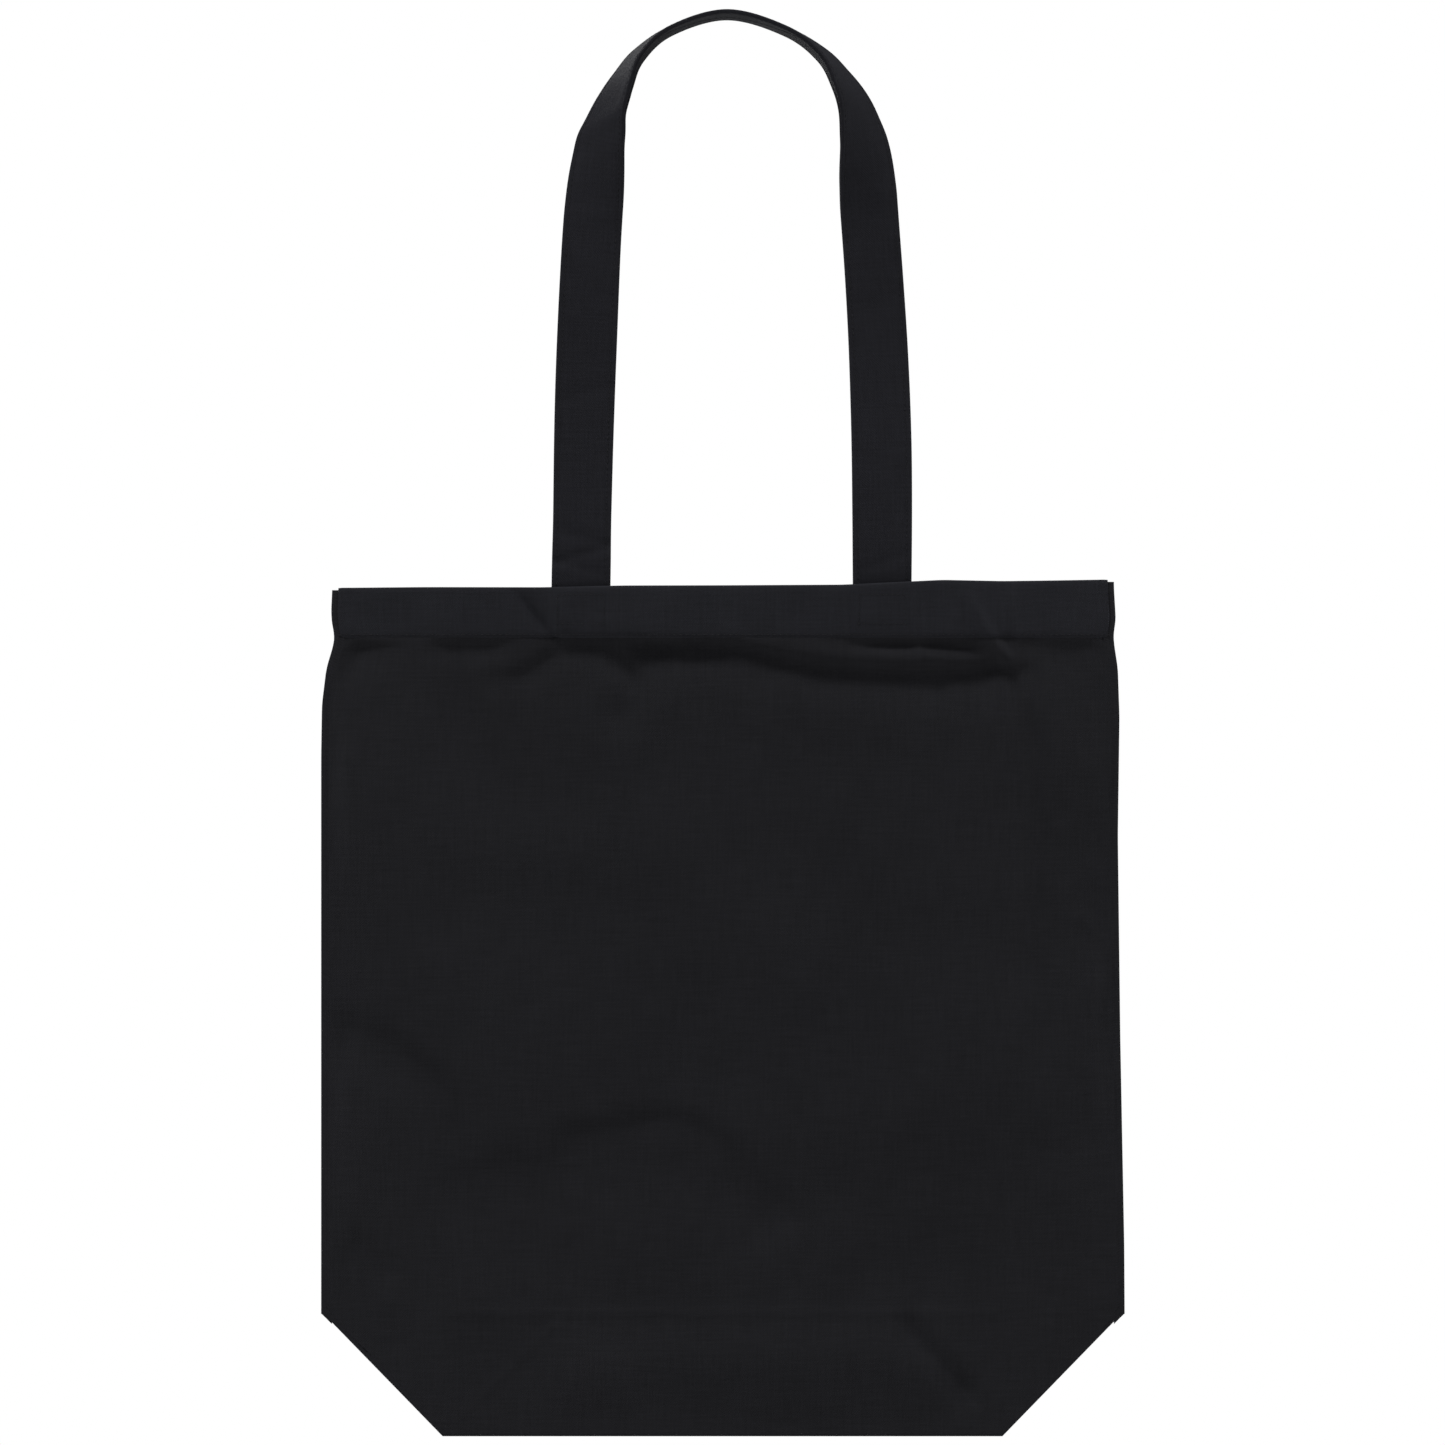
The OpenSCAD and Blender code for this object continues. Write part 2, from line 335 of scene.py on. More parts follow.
def thread_material():
    """Black sewing thread, a little brighter than the cloth, with its twist."""
    material = bpy.data.materials.new("thread")
    material.use_nodes = True
    tree = material.node_tree
    shader = tree.nodes["Principled BSDF"]
    start = Wire(tree)
    place = start.node("ShaderNodeTexCoord", out=3)
    twist = start.node("ShaderNodeTexWave", {"bands_direction": "DIAGONAL"},
                       {"Vector": place, "Scale": 420.0, "Distortion": 1.5, "Detail": 1.0})
    twist = Wire(tree, twist.socket.node.outputs["Fac"])
    dark, light = (0.004, 0.004, 0.005, 1), (0.0105, 0.0105, 0.0125, 1)
    tint = start.node("ShaderNodeMix", {"data_type": "RGBA"}, {0: twist, 6: dark, 7: light}, out=2)
    bump = start.node("ShaderNodeBump", (), {"Strength": 0.4, "Distance": 0.08 * MM,
                                             "Height": twist})
    tree.links.new(tint.socket, shader.inputs["Base Color"])
    tree.links.new(bump.socket, shader.inputs["Normal"])
    shader.inputs["Roughness"].default_value = 0.75
    shader.inputs["Specular IOR Level"].default_value = 0.12
    return material


CANVAS = canvas_material("canvas", (0.0048, 0.0048, 0.0057), (0.0118, 0.0118, 0.0138))
# The hem is the body's canvas in a lighter, slightly bluer copy. The lighter tone is painted light:
# it stands in for the light that falls on the hem where it tilts up towards the lamps.
HEM_CANVAS_PAINTED_LIGHTER = canvas_material("hem_canvas_painted_lighter", (0.0059, 0.006, 0.0074), (0.0143, 0.0146, 0.018))
STRAP_CANVAS = canvas_material("strap_canvas", (0.0052, 0.0052, 0.0066),
                               (0.0127, 0.0128, 0.016), sheen=0.006)
THREAD = thread_material()

# ---- The closed bag's shape ----

# How far the side edges stand out of the seam line at each height, in millimetres.
EDGE_SHIFT = {
    LEFT: [(60, 1.6), (340, 1.6), (366, 1.2), (384, -1.0), (396, -4.6), (401, -5.2),
           (405, -4.0), (412, -3.4), (425, -4.0)],
    RIGHT: [(60, 2.0), (95, 1.8), (200, -0.2), (300, -1.4), (360, -0.6), (384, -1.4),
            (397, -3.4), (402, -3.6), (408, -2.4), (425, -3.4)],
}
# How far the mouth stands above its mean height from left to right, in millimetres.
MOUTH_RISE = [(-200, -0.5), (-150, -0.2), (-90, -0.3), (-50, 0.6), (0, 0.7), (60, 1.0),
              (110, 3.4), (140, 2.8), (170, 3.2), (200, 3.7)]


def mouth_height(u):
    """Height of the mouth's edge, rounded off towards the side seams."""
    corner = 0.9 * MM * smooth((np.abs(u) - HALF_WIDTH + 4 * MM) / (4 * MM))
    return MOUTH + mm_curve(MOUTH_RISE, u) - corner


def bottom_height(u):
    """Height at which the panels hand over to the bottom and corner folds."""
    return LIP + np.maximum(np.abs(u) - HALF_BASE, 0)


def seam_fade(u):
    """1 over most of the cloth, and down to 0 beside the side seams."""
    return smooth((GUSSET_END - np.abs(u)) / SEAM_FADE)


def edge_shift(u, v):
    """How far cloth near a side seam is pushed out along the gusset."""
    near = smooth((np.abs(u) - HALF_WIDTH + 50 * MM) / (45 * MM))
    shift = np.where(u < 0, mm_curve(EDGE_SHIFT[LEFT], v), mm_curve(EDGE_SHIFT[RIGHT], v))
    return near * shift


def on_cloth(side, u, v, out):
    """Places flat cloth on the closed bag: u across from the middle, v up, out off its middle."""
    u, v, out = np.broadcast_arrays(u, v, out)
    past = np.abs(u) - HALF_BASE
    turn = LEAN * smooth((past + CREASE) / (2 * CREASE))
    past = np.maximum(past, 0) + edge_shift(u, v)
    x = np.minimum(np.abs(u), HALF_BASE) + past * math.cos(LEAN) + out * np.sin(turn)
    y = HALF_DEPTH - past * math.sin(LEAN) + out * np.cos(turn)
    return np.stack([np.sign(u) * x, side * y, v], -1)


# Each side's folds: points (across, up), half width above the line and height, in millimetres,
# and how many times wider the fold is below the line. A hollow has a negative height.
FOLDS = {FRONT: [
    # The long sag under the hem, the swell above it, and the folds that run into it.
    ([(-62, 394), (-30, 394.5), (-8, 394), (12, 392), (29, 387), (56, 383), (84, 381.3),
      (104, 380.8), (122, 381.8), (140, 383), (162, 381)], 4.0, -5.4, 3.6),
    ([(18, 397), (40, 393), (62, 390), (90, 389.5), (112, 390), (132, 391)], 4.5, 0.7, 0.7),
    ([(58, 396.5), (82, 396), (106, 395.5), (126, 393), (143, 385)], 2.8, -2.9, 1.2),
    ([(94, 402), (99, 394), (110, 384)], 2.8, 1.4, 1.2),
    ([(-128, 379), (-116, 379), (-101, 380), (-88, 388), (-74, 394), (-60, 392), (-47, 383),
      (-41, 370), (-50, 360)], 4.6, -2.4, 1.7),
    # The cloth falls in under the hem's edge.
    ([(-225, 390), (-190, 393), (-172, 394.5), (-146, 396)], 4.4, -3.6, 3.0),
    ([(-156, 396), (-128, 395), (-98, 396)], 3.4, -2.4, 2.4),
    ([(140, 396), (172, 395), (226, 391)], 5.0, -2.2, 3.4),
    # Soft folds lower down.
    ([(184, 398), (190, 385), (199, 368)], 5, 1.2, 0.8),
    ([(170, 264), (182, 257), (196, 247)], 6, 1.1, 0.6),
    ([(203, 256), (178, 205), (155, 140)], 11, 2.8, 0.8),
    ([(-206, 212), (-180, 200), (-156, 186), (-136, 166), (-130, 132)], 9, -3.6, 1.7),
    ([(-156, 122), (-120, 129), (-85, 132), (-50, 135), (-22, 134), (-4, 126), (12, 112),
      (34, 88)], 14, -4.0, 1.7),
    ([(-96, 147), (-68, 151), (-28, 157), (-4, 148), (16, 128), (42, 100)], 7, -2.9, 1.6),
    ([(-196, 104), (-183, 97), (-172, 86), (-160, 70)], 7, -2.8, 1.5),
    # The bottom rolls under, and its right corner flap pulls a crease.
    ([(-96, 30), (-30, 38), (30, 40), (90, 36), (126, 22)], 18, 3.6, 1.0),
    ([(84, 68), (98, 50), (114, 32), (134, 8)], 5.5, -3.6, 1.4),
    # Wide, low waves.
    ([(-165, 300), (-90, 288), (0, 286)], 18, 1.2, 1.0),
    ([(-160, 344), (-60, 330), (40, 336), (120, 330)], 24, -1.0, 1.0),
    ([(-60, 232), (10, 236), (110, 222)], 22, 1.0, 1.0),
    ([(40, 92), (90, 108), (132, 112)], 14, 1.2, 1.4),
    # The pressed box edge on the right, and the hollow beside it.
    ([(142.5, 390), (143, 300), (142, 180), (141.5, 60)], 2.4, 0.8, 1.0),
    ([(156, 372), (156.5, 300), (155, 216)], 7.0, -2.2, 1.0),
], BACK: [
    ([(146, 394), (90, 393), (40, 388), (0, 386), (-60, 389), (-120, 395)], 5.4, -4.0, 3.0),
    ([(-197, 305), (-150, 270), (-118, 222)], 7, -2.2, 2.2),
    ([(130, 190), (80, 164), (20, 150), (-40, 158)], 8, -1.8, 2.4),
    ([(60, 300), (20, 290), (-70, 300)], 18, 1.2, 1.0),
    ([(-146, 360), (-146, 220), (-145, 90)], 3, 0.6, 1.0),
]}
# Folds that run on through the hem, where the cloth gathers beside the straps.
GATHERS = {FRONT: [
    ([(119, 434), (127, 413), (134, 400), (143, 388), (152, 372)], 3.2, 3.4, 1.0),
    ([(143, 434), (144.5, 412), (147, 396), (150, 384)], 2.4, 1.4, 1.0),
    ([(95, 436), (97, 412), (100, 398), (104, 390)], 2.6, 1.8, 1.0),
    ([(66, 436), (65.5, 412), (66, 396), (67, 386)], 1.8, -0.8, 1.0),
    ([(-56, 436), (-53, 408), (-50, 394), (-42, 380)], 2.4, 2.0, 1.0),
    ([(-108, 430), (-94, 412), (-84, 400), (-78, 390)], 2.6, -3.4, 1.0),
    ([(-86, 424), (-80, 409), (-76, 398)], 3.0, 1.8, 1.0),
    ([(-152, 420), (-140, 408), (-132, 396)], 6.0, 0.7, 1.0),
    ([(8, 424), (16, 410), (20, 398)], 8.0, 0.6, 1.0),
], BACK: [
    ([(-94, 434), (-88, 400), (-82, 380)], 3, 1.6, 1.0),
    ([(72, 434), (62, 404), (54, 386)], 3, 1.5, 1.0),
    ([(-58, 434), (-55, 404), (-50, 384)], 2.6, -1.2, 1.0),
    ([(110, 430), (118, 402), (130, 384)], 4, 1.3, 1.0),
]}
# Hollows, and swells where the depth is negative: [across, up, radius, depth] in millimetres.
DIMPLES = {FRONT: [(-53, 361, 11, 2.4), (-120, 340, 45, 1.6), (60, 330, 60, 1.4),
                   (25, 200, 60, 1.2), (-90, 100, 40, -1.4), (150, 110, 30, 0.8),
                   (-185, 322, 24, -1.4), (120, 190, 40, -1.2)],
           BACK: [(0, 330, 60, 1.4), (-90, 180, 50, 1.2), (100, 240, 45, 1.2)]}


def fold_height(u, v, points, half_width, height, below):
    """A soft fold along a curve, with its own width below the curve, that fades at its ends."""
    line = spline(points, 8) * MM
    run = np.concatenate([[0], np.cumsum(np.linalg.norm(np.diff(line, axis=0), axis=1))])
    start, step = line[:-1], np.diff(line, axis=0)
    at = np.stack([u, v], -1)[..., None, :] - start
    along = np.clip((at * step).sum(-1) / (step**2).sum(-1), 0, 1)
    away = at - along[..., None] * step
    distance = np.linalg.norm(away, axis=-1)
    nearest = distance.argmin(-1)[..., None]
    pick = [np.take_along_axis(a, nearest, -1)[..., 0] for a in (distance, away[..., 1], along)]
    distance, upward, along = pick
    reached = (run[nearest[..., 0]] + along * np.diff(run)[nearest[..., 0]]) / run[-1]
    fade = smooth(np.minimum(reached, 1 - reached) * run[-1] / min(0.42 * run[-1], 26 * MM))
    width = half_width * MM * (1 + (below - 1) * smooth(0.5 - upward / (2 * MM)))
    return height * MM * fade * np.exp(-((distance / width) ** 2))


def slow_waves(u, v, seed, height):
    """Low, even unevenness of soft cloth."""
    rng = np.random.default_rng(seed)
    total = np.zeros(np.broadcast(u, v).shape)
    for length in (0.17, 0.13, 0.1, 0.075, 0.055, 0.042, 0.033, 0.026):
        turn, phase = rng.uniform(0, 2 * math.pi, 2)
        total = total + length * np.sin(
            2 * math.pi / length * (u * math.cos(turn) + v * math.sin(turn)) + phase)
    return total * height / 0.2


def relief(side, u, v):
    """How far the outer cloth stands off its flat place."""
    out = slow_waves(u, v, 3 + side, 0.75 * MM)
    for fold in FOLDS[side] + GATHERS[side]:
        out = out + fold_height(u, v, *fold)
    for across, up, radius, depth in DIMPLES[side]:
        gap = ((u - across * MM) ** 2 + (v - up * MM) ** 2) / (radius * MM) ** 2
        out = out - depth * MM * np.exp(-gap)
    # The folded base and its corner flaps show through as faint ridges.
    inside = smooth((HALF_BASE - np.abs(u)) / (6 * MM))
    out = out + 0.7 * MM * inside * np.exp(-(((v - HALF_GUSSET - 1.5 * MM) / (2.2 * MM)) ** 2))
    flap = (np.abs(u) + v - HALF_BASE) / math.sqrt(2)
    below = smooth((HALF_GUSSET - v) / (5 * MM))
    out = out + 0.55 * MM * inside * below * np.exp(-((flap / (2 * MM)) ** 2))
    # The gusset swells a little between its creases, and the panel sags between the sides.
    past = np.clip((np.abs(u) - HALF_BASE) / HALF_GUSSET, 0, 1)
    swell = np.where(u < 0, 2.8, 1.2) * MM
    out = out + swell * np.sin(math.pi * past) * smooth(v / (150 * MM))
    panel = np.clip(1 - (u / HALF_BASE) ** 2, 0, 1)
    belly = np.sin(math.pi * np.clip(v / STITCH_LINE, 0, 1)) ** 1.5
    out = out + 2.0 * MM * panel * belly
    return out


def seam_lift(side, u):
    """How far the gathers lift the hem's row of stitches."""
    lift = sum(fold_height(u, STITCH_LINE + 0 * u, *fold) for fold in GATHERS[side])
    return GATHER_SHARE * lift * seam_fade(u)


def body_fade(u, v):
    """Lets the relief die out at the seams, the folds at the bottom and the stitch line."""
    bottom = smooth((v - bottom_height(u)) / (14 * MM))
    top = smooth((STITCH_LINE - v) / (3.2 * MM))
    return seam_fade(u) * bottom, top


def body_out(side, u, v):
    """Height of the body's outer face above the middle of its cloth."""
    sides, top = body_fade(u, v)
    back_crease = 1.0
    if side == BACK:
        back_crease = smooth(np.abs(u - HALF_BASE) / (10 * MM))
    ease = HALF_CLOTH * (1 - 0.6 * smooth((np.abs(u) - GUSSET_END + 3 * MM) / (3 * MM)))
    pulled = (seam_lift(side, u) * back_crease - STITCH_DENT) * (1 - top)
    return ease + relief(side, u, v) * sides * top * back_crease + pulled


# The back's right box edge is where the ring of panels is left open. There the panel's end is
# rounded about the fold, and both ends are mitred inside, so that the fold can turn.
ROUND_END = 0.4 * MM
MITRE = 0.85
MITRE_REACH = 3 * MM


def panel_end(u, out):
    """The back panel's own end at the open corner."""
    turn = math.radians(70) * np.clip((u - HALF_BASE) / ROUND_END, 0, 1)
    over, under = np.maximum(out, 0), np.maximum(-out, 0)
    near = np.clip((u - HALF_BASE) / MITRE_REACH + 1, 0, 1)
    kept = np.where(out > 0, 1, 0.9 + 0.1 * np.cos(turn))
    moved = np.minimum(u, HALF_BASE) + over * np.sin(turn) - MITRE * under * near * kept
    return moved, np.where(out > 0, out * np.cos(turn), out)


def gusset_end(u, out):
    """The gusset's end at the open corner."""
    near = np.clip(1 - (u - HALF_BASE) / MITRE_REACH, 0, 1)
    return u + (MITRE * np.maximum(-out, 0) + 0.03 * MM) * near, out


def whole(u, out):
    """Cloth that has no end at the open corner."""
    return u, out


def columns(first, last, step, creases=()):
    """Places across the cloth, closer together beside each crease."""
    count = max(int(round((last - first) / step)), 1) + 1
    places = [np.linspace(first, last, count)]
    for crease in creases:
        places.append(crease + np.linspace(-1.2, 1.2, 9) * CREASE)
    merged = np.unique(np.round(np.concatenate(places), 6))
    return merged[(merged >= first - 1e-9) & (merged <= last + 1e-9)]


def body_cloth(name, side, across, step, end=whole):
    """One stretch of the body, from the bottom folds to the hem's row of stitches."""
    rows = np.linspace(0, 1, int(STITCH_LINE / step) + 1)[:, None]
    u = across[None, :] + 0 * rows
    low = bottom_height(u)
    v = low + rows * (STITCH_LINE - low)
    out = body_out(side, u, v)
    outer_u, outer_out = end(u, out)
    inner_u, inner_out = end(u, out - CLOTH)
    outer = on_cloth(side, outer_u, v, outer_out)
    inner = on_cloth(side, inner_u, v, inner_out)
    return shell(name, outer, inner, np.stack([u, v], -1))


# ---- The hem ----


def strap_print(u, v):
    """Where a strap end lies behind the hem, 0 to 1."""
    total = 0
    for leg in LEG_X.values():
        side = smooth((HALF_STRAP + 1.2 * MM - np.abs(u - leg)) / (2.4 * MM))
        total = total + side * smooth((v - STRAP_END + 1 * MM) / (2 * MM))
    return total


def hem_relief(side, u, v):
    """Unevenness of the hem's outer face."""
    out = slow_waves(u, v, 11 + side, 0.6 * MM)
    pucker = np.sin(u / (5.2 * MM) + 2 * np.sin(u / (31 * MM)))
    out = out + 0.12 * MM * pucker * smooth((STITCH_LINE + 9 * MM - v) / (9 * MM))
    for fold in GATHERS[side]:
        out = out + GATHER_SHARE * fold_height(u, v, *fold)
    return out + 0.5 * MM * strap_print(u, v)


def hem_depth(u):
    """How far the hem reaches back from the middle of the cloth, less beside the seams."""
    return np.clip((HALF_WIDTH - np.abs(u)) / 6, 0.3 * MM, HEM_THICK)


def hem_rings(side, across):
    """The hem's cross-sections: up its outer face, over the mouth and down inside."""
    u = across
    top = mouth_height(u)
    room = hem_depth(u)
    low = STITCH_LINE
    # The outer face: height, how much of the hem's own height it has there, and the dent.
    rings = [(low + rise * MM, share, -STITCH_DENT)
             for rise, share in ((0.0, 0.0), (0.9, 0.62), (2.2, 0.9))]
    for part in np.linspace(0.17, 0.93, 9):
        rings.append((low + part * (top - 1.2 * MM - low), 1.0, 0.0))
    profile = []
    for v, share, dent in rings:
        v = v + 0 * u
        out = HALF_CLOTH + (HEM_STEP_OUT + hem_relief(side, u, v) * seam_fade(u)) * share
        out = out + (dent + seam_lift(side, u)) * (1 - share)
        profile.append((out, v))
    lip_out = profile[-1][0]
    for angle in np.linspace(20, 160, 8):
        turn = math.radians(angle)
        middle = (lip_out - room) / 2
        reach = (lip_out + room) / 2
        profile.append((middle + reach * math.cos(turn), top - reach * (1 - math.sin(turn))))
    for part in (0.9, 0.7, 0.5, 0.3, 0.12):
        wave = slow_waves(u, low + part * (top - low), 20 + side, 0.2 * MM)
        profile.append((-room + wave * (room > 1.5 * MM), low + part * (top - low)))
    profile.append((-room * 0.85, low + 0.6 * MM + 0 * u))
    profile.append((-room * 0.6, low + 0.1 * MM + 0 * u))
    return profile


def hem_piece(name, side, across, end=whole):
    """A stretch of the doubled hem as one closed band."""
    profile = hem_rings(side, across)
    out = np.stack([p[0] for p in profile], 1)
    v = np.stack([p[1] for p in profile], 1)
    u = across[:, None] + 0 * v
    rings = on_cloth(side, end(u, out)[0], v, end(u, out)[1])
    around = np.cumsum(np.concatenate(
        [np.zeros((len(u), 1)), np.hypot(np.diff(out, axis=1), np.diff(v, axis=1))], 1), 1)
    return tube(name, rings, np.stack([u, STITCH_LINE + around], -1))


# ---- Side seams, bottom folds, corners ----


def seam_strip(hand):
    """The side seam: a narrow rolled edge that joins the two halves of a gusset."""
    bottom = HALF_GUSSET + 0.6 * MM
    top = mouth_height(np.array([hand * HALF_WIDTH]))[0] - 0.3 * MM
    rows = np.linspace(bottom, top, 190)

    def flat(side, back_off, out):
        v = rows - back_off * (top - rows) / (top - bottom)
        return on_cloth(side, hand * (HALF_WIDTH - back_off) + 0 * v, v, out)

    def edge(along, y):
        shift = edge_shift(hand * HALF_WIDTH + 0 * rows, rows)
        return np.stack([hand * (SEAM_X + shift + along), y + 0 * rows, rows], -1)

    def path(inset):
        """The strip's cross-section, moved in by inset."""
        ends = HALF_CLOTH * 0.3 - inset
        near = HALF_CLOTH * 0.75 - inset
        lip = 0.45 * MM - inset
        return [
            flat(BACK, 5 * MM, ends), flat(BACK, 2.2 * MM, near),
            edge(0.1 * MM - inset, lip + 0.05 * MM), edge(0.4 * MM - inset, lip - 0.2 * MM),
            edge(0.15 * MM - inset, 0.08 * MM), edge(0.15 * MM - inset, -0.08 * MM),
            edge(0.4 * MM - inset, 0.2 * MM - lip), edge(0.1 * MM - inset, -lip - 0.05 * MM),
            flat(FRONT, 2.2 * MM, near), flat(FRONT, 5 * MM, ends),
        ]

    outer = np.stack(path(0.0), 1)
    inner = np.stack(path(0.22 * MM), 1)
    uv = np.stack(np.broadcast_arrays(
        hand * (HALF_WIDTH + np.linspace(-5, 5, outer.shape[1])[None, :] * MM), rows[:, None]), -1)
    return shell(f"{HAND_NAMES[hand]}_side_seam_edge", outer, inner, uv)


def base_piece(side):
    """Half of the base, from the panel's bottom edge up to the fold along its middle."""
    name = SIDE_NAMES[side]
    x = columns(-HALF_BASE, HALF_BASE, 4 * MM)
    rise = np.array([math.sin(LEAN), math.cos(LEAN)])
    rows = [(HALF_CLOTH, LIP), (HALF_CLOTH, 2.2 * MM), (0.36 * MM, 1.0 * MM),
            (0.22 * MM, 0.2 * MM), (0.02 * MM, -0.12 * MM)]
    outer, inner, flat = [], [], []
    for out, height in rows:
        outer.append([HALF_DEPTH + out, height])
        inner.append([HALF_DEPTH + out - FOLD_SKIN, max(height, FOLD_SKIN)])
        flat.append(height)
    for along in np.concatenate([[0.7, 1.6, 3.0], np.linspace(6, 59.9, 19)]) * MM:
        outer.append([HALF_DEPTH - along * rise[0], along * rise[1]])
        inner.append([HALF_DEPTH - along * rise[0] + FOLD_SKIN,
                      max(along * rise[1] + 0.08 * MM, FOLD_SKIN)])
        flat.append(-along)

    def spread(path):
        path = np.array(path)
        y = side * path[:, 0][:, None] + 0 * x
        return np.stack([x + 0 * y, y, path[:, 1][:, None] + 0 * x], -1)

    uv = np.stack(np.broadcast_arrays(x[None, :], np.array(flat)[:, None]), -1)
    return shell(f"{name}_base_cloth", spread(outer), spread(inner), uv)


def corner_frame(hand, side):
    """The diagonal crease of a corner: its ends, and the way up the gusset and up the tuck."""
    start = np.array([hand * HALF_BASE, side * HALF_DEPTH, 0])
    end = np.array([hand * SEAM_X, 0, HALF_GUSSET])
    middle = np.array([hand * HALF_BASE, 0, HALF_GUSSET * math.cos(LEAN)])
    length = np.linalg.norm(end - start)
    along = (end - start) / length
    into = (middle - (start + end) / 2) / (length / 2)
    out = np.array([hand * math.sin(LEAN), side * math.cos(LEAN), 0])
    up = np.cross(along, out)
    up = up if up[2] > 0 else -up
    return start, length, along, up, into, out


def tuck_piece(hand, side):
    """A corner tuck with the rounded diagonal crease that joins it to the gusset."""
    start, length, along, up, into, out = corner_frame(hand, side)
    share = np.linspace(0, 1, 40)[:, None]
    outer, inner, uv = [], [], []
    lip = LIP / math.sqrt(2)
    for height, off in ((lip, 0.4), (lip * 0.5, 0.4), (0.8 * MM, 0.36), (0.2 * MM, 0.24),
                        (-0.12 * MM, 0.02)):
        base = start + along * (max(height, 0) + share * length)
        outer.append(base + up * height + out * off * MM)
        inner.append(base + up * max(height, FOLD_SKIN) + out * (off * MM - FOLD_SKIN))
        uv.append(np.hstack([hand * (HALF_BASE + share * HALF_GUSSET),
                             share * HALF_GUSSET + height * math.sqrt(2)]))
    for depth in np.concatenate([[0.7, 1.6, 3.0], np.linspace(6, 41.7, 13)]) * MM:
        base = start + along * (depth + share * (length - 2 * depth)) + into * depth
        outer.append(base)
        inner.append(base + out * 0.5 * MM + up * 0.1 * MM)
        uv.append(np.hstack([hand * (HALF_BASE + share * HALF_GUSSET),
                             share * HALF_GUSSET - depth * math.sqrt(2)]))
    name = f"{HAND_NAMES[hand]}_{SIDE_NAMES[side]}_corner_tuck_cloth"
    made = shell(name, np.stack(outer), np.stack(inner), np.stack(uv))
    return made, start + out * 0.25 * MM, start - out * 0.12 * MM


def flap_piece(hand, side):
    """Half of a corner flap: doubled cloth lying on the inside of the base."""
    up = np.linspace(2, 58.8, 24)[:, None] * MM
    share = np.linspace(0, 1, 20)[None, :]
    x = HALF_BASE - 1 * MM - share * (up - 1.5 * MM)
    room = np.clip(up * math.sin(LEAN) - 1.15 * MM, 0.12 * MM, 1.3 * MM)
    edge = smooth(np.minimum(share, 1 - share) / 0.06 + 0.25)
    top = 0.55 * MM + room * edge
    ripple = 0.15 * MM * np.sin(up / (6 * MM) + 3 * share) * (room > 1 * MM)

    def surface(height):
        y = HALF_DEPTH - up * math.sin(LEAN) + height * math.cos(LEAN)
        z = up * math.cos(LEAN) + height * math.sin(LEAN)
        x_, y, z = np.broadcast_arrays(x, y, z)
        return np.stack([hand * x_, side * y, z], -1)

    uv = np.stack(np.broadcast_arrays(x, up), -1)
    name = f"{HAND_NAMES[hand]}_{SIDE_NAMES[side]}_corner_flap_cloth"
    return shell(name, surface(top + ripple), surface(0.5 * MM + 0 * top), uv)


# ---- Handles ----

# The route of a handle: across, and up from the mouth, in millimetres.
HANDLE_ROUTE = [
    (-70.9, -21), (-70.9, 0), (-70.2, 40), (-69.4, 79), (-68.2, 116), (-66.0, 166), (-64.2, 192),
    (-61.7, 217), (-59.0, 230), (-55.4, 242), (-50.3, 254), (-42.5, 267), (-26.4, 279.5),
    (2.3, 287),
    (32.0, 279), (50.0, 267), (59.6, 254), (65.7, 242), (69.2, 229), (71.3, 217), (73.2, 192),
    (76.0, 154), (78.2, 116), (79.6, 75), (80.0, 40), (80.0, 0), (80.0, -21),
]
# Heights above the mouth between which a handle turns from face-on to lying flat.
TURN_START = 170 * MM
TURN_END = 290 * MM
# Creases across the left leg and the right leg: [height, slope, depth, half width] in millimetres.
LEG_CREASES = {
    LEFT: [(9, -0.3, 0.6, 2.2), (16, 0.3, 0.8, 2.6), (25, -0.25, 0.6, 2.5), (97, 0.3, 0.6, 4.0),
           (150, -0.5, 0.4, 6.0), (186, 0.1, -0.4, 5.0), (232, 0.6, -0.9, 6.0)],
    RIGHT: [(12, -0.4, 0.5, 3.0), (60, 0.4, 0.35, 5.0), (140, -0.3, 0.4, 6.0),
            (197, 0.1, -0.5, 6.0)],
}
STITCH_INSET = 2.6 * MM


def handle_stations():
    """Even places along a handle's route: how far along each is, the middle of the strap,
    the ways across and through it, and the height above the mouth."""
    route = spline(HANDLE_ROUTE, 14) * MM
    run = np.concatenate([[0], np.cumsum(np.linalg.norm(np.diff(route, axis=0), axis=1))])
    length = np.linspace(0, run[-1], 400)
    x = np.interp(length, run, route[:, 0])
    rise = np.interp(length, run, route[:, 1])
    turn = math.pi / 2 * smooth((rise - TURN_START) / (TURN_END - TURN_START))
    y = -(LEG_Y + (TOP_Y - LEG_Y) * np.sin(turn))
    centre = np.stack([x, y, MOUTH + rise], -1)
    along = np.gradient(centre, axis=0)
    along[:, 1] = 0
    along /= np.linalg.norm(along, axis=1)[:, None]
    flat = np.stack([along[:, 2], 0 * x, -along[:, 0]], -1)
    across = np.cos(turn)[:, None] * flat + np.sin(turn)[:, None] * np.array([0, -1, 0])
    return length, centre, across, np.cross(along, across), rise


